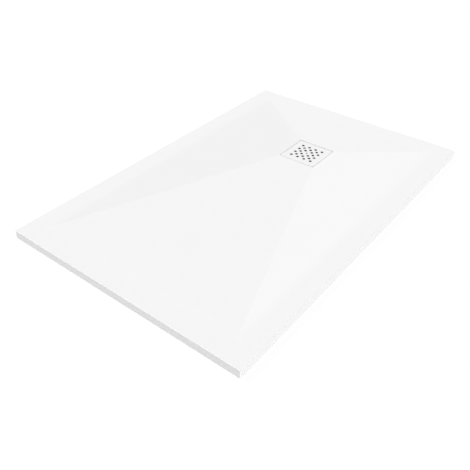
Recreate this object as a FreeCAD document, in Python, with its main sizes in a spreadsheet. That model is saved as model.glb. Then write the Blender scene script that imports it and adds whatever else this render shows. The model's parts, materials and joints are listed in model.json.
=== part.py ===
import FreeCAD, Part
import math
import os
import re

import Sketcher
from FreeCAD import Placement, Rotation, Vector

# Rectangular shower tray with its waste, in millimetres.
# X runs across the tray, Y along it towards the drain, Z up.
# The origin is at the middle of the flat underside.

doc = FreeCAD.newDocument("ShowerTray")

# ---------------------------------------------------------------- the sheets

sizes = doc.addObject("Spreadsheet::Sheet", "Sizes")
places = doc.addObject("Spreadsheet::Sheet", "Places")
home_of = {}
rows_in = {"Sizes": 0, "Places": 0}


def write_row(sheet, alias, content, note):
    """Put one named value and its note on the next free row of a sheet."""
    rows_in[sheet.Name] += 1
    row = rows_in[sheet.Name]
    sheet.set(f"A{row}", note)
    sheet.set(f"B{row}", content)
    sheet.setAlias(f"B{row}", alias)
    home_of[alias] = sheet.Name


def formula(words, inside=None):
    """Turn the aliases in a formula into references to their sheets."""
    def reference(match):
        word = match.group()
        home = home_of.get(word)
        if home is None or home == inside:
            return word
        return f"{home}.{word}"
    return re.sub(r"[a-z][a-z_]*", reference, words)


def place(alias, words, note):
    """A level, radius or station that follows from the driving dimensions."""
    write_row(places, alias, "=" + formula(words, inside="Places"), note)


# Driving dimensions and counts: plain numbers that a designer may set.
driving_sizes = [
    # The cast tray
    ("tray_width", 800, "across the tray"),
    ("tray_length", 1200, "along the tray"),
    ("rim_width", 60, "flat rim on all four sides"),
    ("basin_depth", 12, "rim down to the grate"),
    ("blend_radius", 450, "soft roll from the rim into each fall"),
    ("drain_setback", 310, "short edge to the drain's centre"),
    ("corner_radius", 2, "upright corners of the tray"),
    ("rim_edge_radius", 1, "top outer edge of the tray"),
    ("waste_hole_radius", 45, "hole for a 90 mm waste"),
    ("relief_depth", 1.5, "shallow seat for the trap in the underside"),
    ("relief_margin", 8, "seat beyond the trap's rim"),
    ("well_wall", 6, "resin between that seat and the grate's well"),

    # The grate and its well
    ("grate_margin", 2.4, "free width between the flange and the grate's skirt"),
    ("grate_sheet", 1.5, "sheet that the grate is pressed from"),
    ("grate_bend_radius", 3, "inside of the grate's upright corners"),
    ("grate_edge_radius", 0.8, "top edge of the grate"),
    ("grate_flange_gap", 0.5, "grate's sheet over the flange"),
    ("skirt_gap", 0.5, "grate's skirt over the floor of its well"),
    ("grate_gap", 1.5, "gap round the grate"),
    ("well_corner_radius", 1, "corners of the well"),
    ("hole_radius", 5, "drain holes"),
    ("hole_count", 4, "drain holes along a side of the wider grid"),
    ("hole_margin", 27.1, "grate's edge to the middle of the outermost holes"),
    ("lift_hole_radius", 3.2, "small hole in the middle, for a lifting hook"),
    ("foot_radius", 5, "rubber feet of the grate"),
    ("foot_side_gap", 3.5, "rubber feet inside the grate's skirt"),
    ("foot_bevel", 0.6, "edges of the rubber feet"),

    # The waste flange and the seals either side of the tray
    ("flange_gasket_thickness", 1.5, "gasket under the flange"),
    ("flange_land", 0.9, "flange below its countersinks"),
    ("flange_lap", 16, "flange beyond the waste hole"),
    ("flange_bevel", 0.8, "outer edge of the flange"),
    ("gasket_setback", 1, "gasket's inner edge back from the waste hole"),
    ("body_gasket_thickness", 2, "gasket between tray and trap"),
    ("collar_wall", 2.5, "collar that guides the dip tube's head"),
    ("collar_reach", 7.5, "collar below the trap's rim"),
    ("lip_width", 2.5, "lip in the collar that carries the head"),
    ("lip_thickness", 2, "lip in the collar"),

    # The screws that pull flange and trap together
    ("screw_count", 4, "screws, with their holes, bosses and inserts"),
    ("screw_radius", 2.5, "M5 screw"),
    ("screw_head_flare", 2.1, "countersunk head beyond the shank"),
    ("screw_hole_gap", 0.25, "screw in its hole in the flange"),
    ("screw_side_gap", 1.1, "screw inside the waste hole"),
    ("screw_tip_bevel", 0.5, "lead-in at the screw's tip"),
    ("screw_key_radius", 1.7, "hexagon socket, to its corners"),
    ("screw_key_depth", 1.6, "hexagon socket"),
    ("screw_overrun", 1, "screw beyond its insert"),
    ("boss_wall", 1.35, "boss round its insert"),
    ("boss_gap", 1.1, "boss to collar"),
    ("boss_bite", 0.7, "boss into the trap's wall"),
    ("boss_setback", 1.5, "boss below the trap's rim"),
    ("boss_floor", 3.5, "boss below its bore"),
    ("insert_wall", 0.85, "brass insert"),
    ("insert_length", 10, "brass insert"),
    ("insert_fit", 0.05, "insert round its screw, and in its boss"),
    ("insert_groove_depth", 0.3, "groove round the middle of the insert"),
    ("insert_groove_width", 0.6, "floor of that groove"),
    ("insert_drill", 2.5, "bore below the insert"),

    # The trap
    ("seal_width", 11, "trap's rim beyond the waste hole"),
    ("trap_rim_thickness", 4, "trap's rim"),
    ("trap_wall", 3, "walls and floor of the trap"),
    ("trap_bevel", 5, "slanted corner between wall and floor"),
    ("gusset_count", 8, "gussets under the rim"),
    ("gusset_drop", 12, "gussets under the rim"),
    ("gusset_thickness", 2.5, "gussets under the rim"),

    # The outlet and the joint that holds the waste pipe
    ("pipe_radius", 20, "40 mm waste pipe"),
    ("pipe_gap", 0.2, "pipe in its socket"),
    ("pipe_stop", 2, "step that stops the pipe"),
    ("socket_depth", 22, "how far the pipe goes in"),
    ("mouth_depth", 4, "cone in the socket's mouth"),
    ("mouth_flare", 2.6, "widening of the mouth"),
    ("mouth_wall", 1.4, "wall round the mouth"),
    ("outlet_headroom", 3, "nut below the tray's underside"),
    ("outlet_sill", 7.8, "outlet's bore above the trap's floor"),
    ("washer_fit", 0.1, "cone washer in the mouth"),
    ("washer_gap", 0.45, "cone washer round the pipe, before the nut is tight"),
    ("washer_proud", 0.6, "cone washer beyond the spigot"),
    ("slip_ring_thickness", 1.5, "slip ring"),
    ("slip_ring_gap", 0.6, "slip ring round the pipe"),
    ("slip_ring_side_gap", 0.9, "slip ring inside the nut"),
    ("thread_gap", 0.1, "nut on the spigot"),
    ("nut_wall", 3.2, "wall of the nut"),
    ("nut_lip", 2.5, "inward lip of the nut"),
    ("nut_lip_gap", 0.8, "lip round the pipe"),
    ("nut_length", 22, "nut, end to end"),
    ("nut_clearance", 4.6, "trap's rim to the nut's open end"),
    ("nut_rib_count", 12, "grip ribs"),
    ("nut_rib_radius", 1.5, "grip ribs"),
    ("nut_rib_setback", 1, "grip ribs back from the nut's ends"),
    ("nut_bevel", 0.6, "edges of the nut"),

    # The dip tube, its head and its cup
    ("head_gap", 0.4, "head in the collar"),
    ("head_wall", 2.2, "wall of the head above the ledge"),
    ("head_setback", 3, "head below the flange's top"),
    ("ledge_width", 1.6, "ledge that carries the strainer"),
    ("ledge_depth", 5, "ledge below the head's top"),
    ("seal_section_radius", 0.85, "O-ring"),
    ("seal_groove_slack", 0.25, "O-ring in its groove"),
    ("seal_squeeze_gap", 0.2, "O-ring to the collar"),
    ("seal_drop", 3.3, "middle of the O-ring below the ledge"),
    ("funnel_shoulder", 2.8, "head's seat up to the funnel's wide end"),
    ("funnel_depth", 5.3, "funnel inside the head"),
    ("funnel_wall", 2.5, "funnel, measured upright"),
    ("handle_width", 5, "bar across the head, for lifting"),
    ("handle_height", 4.5, "bar across the head"),
    ("handle_gap", 1, "bar below the ledge"),
    ("tube_wall", 2, "wall of the dip tube"),
    ("tube_end_gap", 8, "dip tube's end above the cup's floor"),
    ("weir_gap", 3, "cup's rim below the funnel"),
    ("cup_gap", 3, "cup to the lip that it passes"),
    ("cup_wall", 2, "wall and floor of the cup"),
    ("cup_channel", 7, "ring-shaped channel between tube and cup"),
    ("cup_foot_count", 3, "feet of the cup"),
    ("cup_foot_height", 1.7, "feet of the cup"),
    ("cup_foot_radius", 3, "feet of the cup"),
    ("cup_foot_inset", 3, "feet inside the cup's wall"),
    ("cup_rest_gap", 0.3, "feet of the cup above the trap's floor"),
    ("rib_count", 4, "ribs of the dip tube, which hold the cup"),
    ("rib_fit", 0.05, "ribs inside the cup"),
    ("rib_thickness", 2, "ribs of the dip tube"),
    ("rib_setback", 4, "ribs above the dip tube's end"),
    ("rib_lug", 2, "lugs of the ribs, over the cup's rim"),

    # The hair strainer
    ("strainer_gap", 0.3, "strainer in the head"),
    ("strainer_thickness", 1.5, "perforated disc"),
    ("strainer_rim_height", 3, "rim of the disc"),
    ("strainer_rim_width", 1.2, "rim of the disc"),
    ("strainer_hole_radius", 2, "holes in the disc"),
    ("strainer_hole_margin", 3.5, "knob to the innermost holes"),
    ("strainer_ring_pitch", 6.5, "spacing of the rings of holes"),
    ("strainer_hole_spacing", 8.4, "spacing of the holes along a ring"),
    ("knob_radius", 5, "knob of the strainer"),
    ("knob_neck_radius", 2.6, "neck of the knob"),
    ("knob_thickness", 2, "head of the knob"),
    ("knob_bevel", 0.5, "edges of the knob"),
    ("knob_gap", 0.6, "knob below the grate"),
]

for alias, number, note in driving_sizes:
    write_row(sizes, alias, str(number), note)
doc.recompute()

# Levels of the tray, from its underside up
place("drain_y", "tray_length / 2 - drain_setback", "drain's centre")
place("flange_thickness", "screw_head_flare + flange_land", "flange plate")
place("foot_height", "flange_gasket_thickness + flange_thickness + grate_flange_gap", "grate's feet")
place("well_floor", "relief_depth + well_wall", "floor of the grate's well")
place("grate_base", "well_floor + skirt_gap", "lower edge of the grate's skirt")
place("sheet_base", "well_floor + foot_height", "underside of the grate's sheet")
place("grate_top", "sheet_base + grate_sheet", "top of the grate")
place("tray_thickness", "grate_top + basin_depth", "top of the rim")

# Levels of the waste, from the flange down
place("flange_base", "well_floor + flange_gasket_thickness", "underside of the flange")
place("flange_top", "flange_base + flange_thickness", "top of the flange")
place("trap_top", "relief_depth - body_gasket_thickness", "top of the trap's rim")
place("trap_rim_base", "trap_top - trap_rim_thickness", "underside of the trap's rim")
place("boss_top", "trap_top - boss_setback", "top of the screw bosses")
place("boss_length", "insert_length + insert_drill + boss_floor", "screw bosses")
place("insert_base", "boss_top - insert_length", "lower end of the inserts")
place("screw_tip", "insert_base - screw_overrun", "lower end of the screws")
place("collar_base", "trap_top - collar_reach", "lower end of the collar")
place("lip_top", "collar_base + lip_thickness", "lip that carries the head")
place("head_top", "flange_top - head_setback", "top of the head")
place("ledge_top", "head_top - ledge_depth", "ledge that carries the strainer")
place("handle_top", "ledge_top - handle_gap", "top of the lifting bar")
place("seal_level", "ledge_top - seal_drop", "middle of the O-ring")
place("disc_top", "ledge_top + strainer_thickness", "top of the strainer's disc")
place("knob_top", "sheet_base - knob_gap", "top of the knob")
place("funnel_top", "lip_top + funnel_shoulder", "wide end of the funnel")
place("funnel_end", "funnel_top - funnel_depth", "narrow end of the funnel")
place("neck_end", "funnel_end - funnel_wall", "head's lower end, on the dip tube")
place("cup_rim", "neck_end - weir_gap", "rim of the cup, which sets the water level")

# Radii, from the waste hole inwards and outwards
place("screw_circle", "waste_hole_radius - screw_side_gap - screw_radius", "circle of screws")
place("insert_bore", "screw_radius + insert_fit", "bore of an insert")
place("insert_radius", "insert_bore + insert_wall", "outside of an insert")
place("boss_bore", "insert_radius + insert_fit", "bore of a boss")
place("boss_radius", "boss_bore + boss_wall", "outside of a boss")
place("collar_outer", "screw_circle - boss_radius - boss_gap", "outside of the collar")
place("collar_bore", "collar_outer - collar_wall", "inside of the collar")
place("lip_bore", "collar_bore - lip_width", "inside of the lip")
place("head_radius", "collar_bore - head_gap", "outside of the head")
place("head_bore", "head_radius - head_wall", "inside of the head")
place("throat_radius", "head_bore - ledge_width", "inside of the head below the ledge")
place("handle_reach", "throat_radius + ledge_width / 2", "ends of the bar, in the ledge")
place("cup_radius", "lip_bore - cup_gap", "outside of the cup")
place("cup_bore", "cup_radius - cup_wall", "inside of the cup")
place("cup_foot_circle", "cup_bore - cup_foot_inset - cup_foot_radius", "feet of the cup")
place("tube_radius", "cup_bore - cup_channel", "outside of the dip tube")
place("tube_bore", "tube_radius - tube_wall", "inside of the dip tube")
place("tube_middle", "tube_radius - tube_wall / 2", "middle of the dip tube's wall")
place("trap_bore", "screw_circle + boss_radius - boss_bite", "inside of the trap")
place("trap_radius", "trap_bore + trap_wall", "outside of the trap")
place("trap_middle", "trap_bore + trap_wall / 2", "middle of the trap's wall")
place("trap_inner_bevel", "trap_bevel - trap_wall * (2 - sqrt(2))", "bevel for an even wall")
place("trap_rim_radius", "waste_hole_radius + seal_width", "trap's rim")
place("relief_radius", "trap_rim_radius + relief_margin", "seat in the underside")
place("flange_radius", "waste_hole_radius + flange_lap", "flange")
place("gasket_bore", "waste_hole_radius + gasket_setback", "both gaskets")
place("strainer_radius", "head_bore - strainer_gap", "strainer")
place("strainer_first_ring", "knob_radius + strainer_hole_margin + strainer_hole_radius",
      "innermost ring of holes")

# The grate and the basin round it
place("grate_half", "flange_radius + grate_margin + grate_sheet", "half the grate's side")
place("grate_corner_radius", "grate_bend_radius + grate_sheet", "upright corners of the grate")
place("well_half", "grate_half + grate_gap", "half the well's side")
place("hole_pitch", "2 * (grate_half - hole_margin) / (hole_count - 1)", "holes in each grid")
place("foot_offset", "grate_half - grate_sheet - foot_side_gap - foot_radius",
      "a foot from the drain's centre lines")
place("basin_half_width", "tray_width / 2 - rim_width", "centre line to the rim")
place("basin_half_length", "tray_length / 2 - rim_width", "centre line to the rim")

# Radii of the outlet
place("socket_bore", "pipe_radius + pipe_gap", "socket")
place("outlet_bore", "socket_bore - pipe_stop", "outlet behind the pipe's stop")
place("mouth_radius", "socket_bore + mouth_flare", "wide end of the mouth")
place("spigot_radius", "mouth_radius + mouth_wall", "spigot")
place("nut_bore", "spigot_radius + thread_gap", "nut")
place("nut_radius", "nut_bore + nut_wall", "nut")
place("nut_lip_bore", "pipe_radius + nut_lip_gap", "lip of the nut")
place("slip_ring_bore", "pipe_radius + slip_ring_gap", "slip ring")
place("slip_ring_radius", "nut_bore - slip_ring_side_gap", "slip ring")
place("washer_bore", "pipe_radius + washer_gap", "cone washer")
place("washer_radius", "mouth_radius - washer_fit", "cone washer")

# Stations along the outlet, from the trap's axis outwards
place("nut_start", "trap_rim_radius + nut_clearance", "open end of the nut")
place("nut_end", "nut_start + nut_length", "outer face of the nut")
place("slip_ring_end", "nut_end - nut_lip", "outer face of the slip ring")
place("washer_end", "slip_ring_end - slip_ring_thickness", "outer face of the cone washer")
place("spigot_reach", "washer_end - washer_proud", "end of the spigot")
place("socket_start", "spigot_reach - socket_depth", "the pipe's stop")
place("mouth_start", "spigot_reach - mouth_depth", "narrow end of the mouth")
place("washer_start", "mouth_start + (washer_bore + washer_fit - socket_bore) * mouth_depth / mouth_flare",
      "thin end of the cone washer")

# Levels of the outlet and of what stands on the trap's floor
place("outlet_z", "-(nut_radius + nut_rib_radius + outlet_headroom)", "axis of the outlet")
place("trap_floor", "outlet_z - outlet_bore - outlet_sill", "floor inside the trap")
place("trap_base", "trap_floor - trap_wall", "underside of the trap")
place("cup_base", "trap_floor + cup_rest_gap + cup_foot_height", "underside of the cup")
place("cup_floor", "cup_base + cup_wall", "floor inside the cup")
place("tube_end", "cup_floor + tube_end_gap", "lower end of the dip tube")
place("rib_base", "tube_end + rib_setback", "lower end of the ribs")
doc.recompute()


def value(words):
    """The number that a formula gives with the sheets as they are now."""
    return float(sizes.evalExpression(formula(words)))


# ------------------------------------------------------- sketches and features

UP = Vector(0, 0, 1)

# The ends of a line or arc and its centre, as the sketches count them
START, END, CENTRE = range(1, 4)


def new_body(name):
    """A body that carries its node's name."""
    body = doc.addObject("PartDesign::Body", name)
    body.Label = name
    return body


def at_drain(body):
    """Stand a body on the drain's axis."""
    body.setExpression("Placement.Base.y", formula("drain_y"))


def at_drain_between(body, count):
    """Stand a body on the drain's axis, turned by half a step of a round pattern."""
    turn = f"180 / {count}"
    body.Placement = Placement(Vector(0, 0, 0), Rotation(UP, value(turn)))
    body.setExpression("Placement.Rotation.Angle", formula(turn))
    at_drain(body)


def along_outlet(body):
    """Lay a body's Z axis along the outlet, from the trap's axis out."""
    body.Placement = Placement(Vector(0, 0, 0), Rotation(Vector(1, 0, 0), -90))
    at_drain(body)
    body.setExpression("Placement.Base.z", formula("outlet_z"))


def origin_part(body, role):
    """One of the body's own origin planes or axes."""
    return next(part for part in body.Origin.OriginFeatures if part.Role == role)


def new_sketch(body, name, plane, height=None, turn=None, turn_axis=UP):
    """A sketch on an origin plane, raised by one formula and turned by another."""
    sketch = body.newObject("Sketcher::SketchObject", name)
    sketch.AttachmentSupport = [(origin_part(body, plane), "")]
    sketch.MapMode = "FlatFace"
    if turn is not None:
        rotation = Rotation(turn_axis, value(turn))
        sketch.AttachmentOffset = Placement(Vector(0, 0, 0), rotation)
        sketch.setExpression("AttachmentOffset.Rotation.Angle", formula(turn))
    if height is not None:
        sketch.setExpression("AttachmentOffset.Base.z", formula(height))
    return sketch


def constrain(sketch, kind, *pieces):
    """Add a constraint that needs no number."""
    sketch.addConstraint(Sketcher.Constraint(kind, *pieces))


def bind(sketch, kind, *pieces, to):
    """Add a constraint whose number follows a formula."""
    index = sketch.addConstraint(Sketcher.Constraint(kind, *pieces, value(to)))
    sketch.setExpression(f"Constraints[{index}]", formula(to))


def pin_point(sketch, piece, end, across, up):
    """Hold a point of the sketch at two distances from its origin."""
    bind(sketch, "DistanceX", -1, START, piece, end, to=across)
    bind(sketch, "DistanceY", -1, START, piece, end, to=up)


def draw_line(sketch, start, end, helper=False):
    """A straight line between two points."""
    return sketch.addGeometry(Part.LineSegment(start, end), helper)


def draw_outline(sketch, corners):
    """A closed outline of straight lines through corners given as formulas."""
    spots = [Vector(value(across), value(up), 0) for across, up in corners]
    lines = [draw_line(sketch, start, end) for start, end in zip(spots, spots[1:] + spots[:1])]
    for line, following in zip(lines, lines[1:] + lines[:1]):
        constrain(sketch, "Coincident", line, END, following, START)
    for line, (across, up) in zip(lines, corners):
        pin_point(sketch, line, START, across, up)


def draw_circle(sketch, across, up, radius):
    """A circle whose centre and radius are formulas."""
    centre = Vector(value(across), value(up), 0)
    piece = sketch.addGeometry(Part.Circle(centre, UP, value(radius)), False)
    bind(sketch, "Radius", piece, to=radius)
    pin_point(sketch, piece, CENTRE, across, up)


def draw_rounded_square(sketch, half, radius):
    """A square about the origin with rounded corners."""
    straight = value(half) - value(radius)
    reach = value(half)
    lines = []
    arcs = []
    for quarter in range(4):
        turned = Rotation(UP, 90 * quarter)
        start = turned.multVec(Vector(-straight, -reach, 0))
        end = turned.multVec(Vector(straight, -reach, 0))
        centre = turned.multVec(Vector(straight, -straight, 0))
        lines.append(draw_line(sketch, start, end))
        circle = Part.Circle(centre, UP, value(radius))
        begin = math.radians(90 * (quarter - 1))
        arc = Part.ArcOfCircle(circle, begin, begin + math.pi / 2)
        arcs.append(sketch.addGeometry(arc, False))
    for quarter in range(4):
        constrain(sketch, "Tangent", lines[quarter], END, arcs[quarter], START)
        constrain(sketch, "Tangent", arcs[quarter], END, lines[(quarter + 1) % 4], START)
    for quarter in (0, 2):
        constrain(sketch, "Horizontal", lines[quarter])
        constrain(sketch, "Vertical", lines[quarter + 1])
    for quarter in (1, 2, 3):
        constrain(sketch, "Equal", arcs[0], arcs[quarter])
    bind(sketch, "Radius", arcs[0], to=radius)
    low = f"-({half})"
    bind(sketch, "DistanceY", -1, START, lines[0], START, to=low)
    bind(sketch, "DistanceX", -1, START, lines[1], START, to=half)
    bind(sketch, "DistanceY", -1, START, lines[2], START, to=half)
    bind(sketch, "DistanceX", -1, START, lines[3], START, to=low)


volume_of = {}


def finish_feature(body, feature, adds):
    """Recompute a feature and check that it added or cut something."""
    doc.recompute()
    change = feature.Shape.Volume - volume_of.get(body.Name, 0.0)
    if not (change > 0 if adds else change < 0):
        raise RuntimeError(f"{feature.Name} changes the volume by {change:.3f}")
    volume_of[body.Name] = feature.Shape.Volume
    body.Tip = feature
    return feature


def pad(body, name, sketch, length, down=False, both_ways=False):
    """Raise a sketch by a length, or by half of it each way."""
    feature = body.newObject("PartDesign::Pad", name)
    feature.Profile = sketch
    feature.setExpression("Length", formula(length))
    feature.Reversed = down
    if both_ways:
        feature.SideType = "Symmetric"
    return finish_feature(body, feature, adds=True)


def pocket(body, name, sketch, length):
    """Cut a sketch down into the body, against its own direction."""
    feature = body.newObject("PartDesign::Pocket", name)
    feature.Profile = sketch
    feature.setExpression("Length", formula(length))
    return finish_feature(body, feature, adds=False)


def revolve(body, name, sketch, axis="V_Axis", cuts=False):
    """Turn a sketch round its upright axis or a line of its own, to add or to cut."""
    kind = "PartDesign::Groove" if cuts else "PartDesign::Revolution"
    feature = body.newObject(kind, name)
    feature.Profile = sketch
    feature.ReferenceAxis = (sketch, [axis])
    feature.Angle = 360
    return finish_feature(body, feature, adds=not cuts)


def turned_profile(body, sketch_name, feature_name, corners):
    """A solid of revolution from pairs of radius and height."""
    sketch = new_sketch(body, sketch_name, "XZ_Plane")
    draw_outline(sketch, corners)
    return revolve(body, feature_name, sketch)


def round_pattern(body, name, features, copies, adds):
    """Repeat features round the body's Z axis."""
    pattern = body.newObject("PartDesign::PolarPattern", name)
    pattern.Originals = features
    pattern.Axis = (origin_part(body, "Z_Axis"), [""])
    pattern.Angle = 360
    pattern.setExpression("Occurrences", formula(copies))
    return finish_feature(body, pattern, adds)


def dress_edges(body, name, kind, amount, wanted):
    """Fillet or chamfer the edges of the tip that a test picks out."""
    base = body.Tip
    picked = [f"Edge{number}" for number, edge in enumerate(base.Shape.Edges, start=1)
              if wanted(edge)]
    feature = body.newObject(f"PartDesign::{kind}", name)
    feature.Base = (base, picked)
    feature.setExpression("Radius" if kind == "Fillet" else "Size", formula(amount))
    return finish_feature(body, feature, adds=False)


def near(first, second, rounding=1e-4):
    """Two lengths that are the same but for rounding."""
    return abs(first - second) < rounding


def lies_level(edge, height):
    """Whether a whole edge lies at one height."""
    box = edge.BoundBox
    return near(box.ZMin, height) and near(box.ZMax, height)


def stands_upright(edge):
    """Whether an edge is a straight upright line."""
    box = edge.BoundBox
    return near(box.XLength, 0) and near(box.YLength, 0)


# ------------------------------------------------------------------- the tray
# One profile drawn across the tray and one drawn along it carry the rim, the
# soft roll over its edge and the fall to the grate. Each is extruded over the
# whole tray. Joined, they leave four flat falls that meet on straight hips,
# from the corners of the rim to the corners of the grate's well.

def draw_fall(sketch, outward, end, basin, well):
    """One side of the tray's section: its wall, rim, roll and fall."""
    top = value("tray_thickness")
    roll = value("blend_radius")
    ground = Vector(value(end), 0, 0)
    shoulder = Vector(value(end), top, 0)
    crest = Vector(value(basin), top, 0)
    foot = Vector(value(well), value("grate_top"), 0)
    slope = math.atan2(crest.y - foot.y, abs(crest.x - foot.x))
    brow = Vector(crest.x + outward * roll * math.tan(slope / 2), top, 0)
    centre = Vector(brow.x, top - roll, 0)
    lower = centre + Vector(-outward * roll * math.sin(slope), roll * math.cos(slope), 0)

    wall = draw_line(sketch, ground, shoulder)
    rim = draw_line(sketch, shoulder, brow)
    begin = math.pi / 2 if outward > 0 else math.pi / 2 - slope
    circle = Part.Circle(centre, UP, roll)
    arc = sketch.addGeometry(Part.ArcOfCircle(circle, begin, begin + slope), False)
    arc_brow, arc_lower = (START, END) if outward > 0 else (END, START)
    fall = draw_line(sketch, lower, foot)
    crest_mark = sketch.addGeometry(Part.Point(crest), True)

    constrain(sketch, "Coincident", wall, END, rim, START)
    constrain(sketch, "Horizontal", rim)
    constrain(sketch, "Tangent", rim, END, arc, arc_brow)
    constrain(sketch, "Tangent", fall, START, arc, arc_lower)
    bind(sketch, "Radius", arc, to="blend_radius")
    pin_point(sketch, wall, START, end, "0")
    pin_point(sketch, wall, END, end, "tray_thickness")
    pin_point(sketch, fall, END, well, "grate_top")
    pin_point(sketch, crest_mark, START, basin, "tray_thickness")
    constrain(sketch, "PointOnObject", crest_mark, START, fall)
    return wall, fall


def draw_section(sketch, half, basin, wells):
    """The tray's section: two sides, joined by the underside and the grate's level."""
    low_side = draw_fall(sketch, -1, f"-({half})", f"-({basin})", wells[0])
    high_side = draw_fall(sketch, 1, half, basin, wells[1])
    half_length = value(half)
    low_foot, high_foot = (Vector(value(well), value("grate_top"), 0) for well in wells)
    underside = draw_line(sketch, Vector(-half_length, 0, 0), Vector(half_length, 0, 0))
    level = draw_line(sketch, low_foot, high_foot)
    for end, (wall, fall) in ((START, low_side), (END, high_side)):
        constrain(sketch, "Coincident", wall, START, underside, end)
        constrain(sketch, "Coincident", fall, END, level, end)


def build_tray():
    body = new_body("tray")
    across = new_sketch(body, "section_across", "XZ_Plane")
    draw_section(across, "tray_width / 2", "basin_half_width", ("-well_half", "well_half"))
    pad(body, "side_falls", across, "tray_length", both_ways=True)
    along = new_sketch(body, "section_along", "YZ_Plane")
    draw_section(along, "tray_length / 2", "basin_half_length",
                 ("drain_y - well_half", "drain_y + well_half"))
    pad(body, "end_falls", along, "tray_width", both_ways=True)

    well = new_sketch(body, "well_outline", "XY_Plane", "tray_thickness")
    well.setExpression("AttachmentOffset.Base.y", formula("drain_y"))
    draw_rounded_square(well, "well_half", "well_corner_radius")
    pocket(body, "grate_well", well, "tray_thickness - well_floor")

    hole = new_sketch(body, "waste_hole_outline", "XY_Plane", "tray_thickness")
    draw_circle(hole, "0", "drain_y", "waste_hole_radius")
    pocket(body, "waste_hole", hole, "tray_thickness")

    seat = new_sketch(body, "seat_outline", "XY_Plane", "relief_depth")
    draw_circle(seat, "0", "drain_y", "relief_radius")
    pocket(body, "trap_seat", seat, "relief_depth")

    half_width = value("tray_width / 2")
    half_length = value("tray_length / 2")
    top = value("tray_thickness")

    def upright_corner(edge):
        middle = edge.CenterOfMass
        return (stands_upright(edge) and near(abs(middle.x), half_width)
                and near(abs(middle.y), half_length))

    def rim_edge(edge):
        box = edge.BoundBox
        at_side = near(box.XMax, half_width) or near(box.XMin, -half_width)
        at_end = near(box.YMax, half_length) or near(box.YMin, -half_length)
        return lies_level(edge, top) and (at_side or at_end)

    dress_edges(body, "upright_corners", "Fillet", "corner_radius", upright_corner)
    dress_edges(body, "rim_edge", "Fillet", "rim_edge_radius", rim_edge)
    return body


# ------------------------------------------------------------------ the grate

def grid_spots(count):
    """The places in a square grid about its middle, counted in pitches."""
    steps = [step - (count - 1) / 2 for step in range(count)]
    return [(across, up) for across in steps for up in steps]


def build_grate():
    body = new_body("grate")
    at_drain(body)
    outside = new_sketch(body, "grate_outline", "XY_Plane", "grate_base")
    draw_rounded_square(outside, "grate_half", "grate_corner_radius")
    pad(body, "pressed_blank", outside, "grate_top - grate_base")
    top = value("grate_top")
    dress_edges(body, "rolled_edge", "Fillet", "grate_edge_radius",
                lambda edge: lies_level(edge, top))
    inside = new_sketch(body, "grate_inside", "XY_Plane", "sheet_base")
    draw_rounded_square(inside, "grate_half - grate_sheet", "grate_bend_radius")
    pocket(body, "pressed_hollow", inside, "sheet_base - grate_base")

    holes = new_sketch(body, "hole_outlines", "XY_Plane", "grate_top")
    count = round(value("hole_count"))
    for across, up in grid_spots(count) + grid_spots(count - 1):
        radius = "lift_hole_radius" if (across, up) == (0, 0) else "hole_radius"
        draw_circle(holes, f"{across} * hole_pitch", f"{up} * hole_pitch", radius)
    pocket(body, "holes", holes, "grate_sheet")
    return body


def build_foot(number, x_side, y_side):
    body = new_body(f"grate_foot_{number}")
    body.setExpression("Placement.Base.x", formula(f"{x_side} * foot_offset"))
    body.setExpression("Placement.Base.y", formula(f"drain_y + {y_side} * foot_offset"))
    body.setExpression("Placement.Base.z", formula("well_floor"))
    turned_profile(body, "foot_section", "foot_turned", [
        ("0", "0"), ("foot_radius - foot_bevel", "0"), ("foot_radius", "foot_bevel"),
        ("foot_radius", "foot_height - foot_bevel"), ("foot_radius - foot_bevel", "foot_height"),
        ("0", "foot_height")])
    return body


# ------------------------------------- the flange, its screws and the gaskets

def build_gasket(name, radius, base, thickness):
    """A flat ring of rubber on the drain's axis."""
    body = new_body(name)
    at_drain(body)
    sketch = new_sketch(body, f"{name}_outline", "XY_Plane", base)
    draw_circle(sketch, "0", "0", radius)
    draw_circle(sketch, "0", "0", "gasket_bore")
    pad(body, f"{name}_sheet", sketch, thickness)
    return body


def build_flange():
    body = new_body("waste_flange")
    at_drain(body)
    turned_profile(body, "flange_section", "flange_turned", [
        ("collar_outer", "flange_base"), ("flange_radius", "flange_base"),
        ("flange_radius", "flange_top - flange_bevel"),
        ("flange_radius - flange_bevel", "flange_top"),
        ("collar_bore + flange_bevel", "flange_top"),
        ("collar_bore", "flange_top - flange_bevel"), ("collar_bore", "lip_top"),
        ("lip_bore", "lip_top"), ("lip_bore", "collar_base"),
        ("collar_outer", "collar_base")])
    hole = new_sketch(body, "screw_hole_outline", "XY_Plane", "flange_top", "180 / screw_count")
    draw_circle(hole, "screw_circle", "0", "screw_radius + screw_hole_gap")
    first = pocket(body, "screw_hole", hole, "flange_thickness")
    round_pattern(body, "screw_holes", [first], "screw_count", adds=False)
    hole_radius = value("screw_radius + screw_hole_gap")
    top = value("flange_top")

    def screw_hole_rim(edge):
        is_circle = isinstance(edge.Curve, Part.Circle)
        return lies_level(edge, top) and is_circle and near(edge.Curve.Radius, hole_radius)

    dress_edges(body, "countersinks", "Chamfer", "screw_head_flare", screw_hole_rim)
    return body


def draw_hexagon(sketch, across, radius):
    """A hexagon about a point on the sketch's X axis."""
    corners = []
    for corner in range(6):
        angle = 60 * corner
        corners.append((f"{across} + {radius} * cos({angle})", f"{radius} * sin({angle})"))
    draw_outline(sketch, corners)


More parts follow.
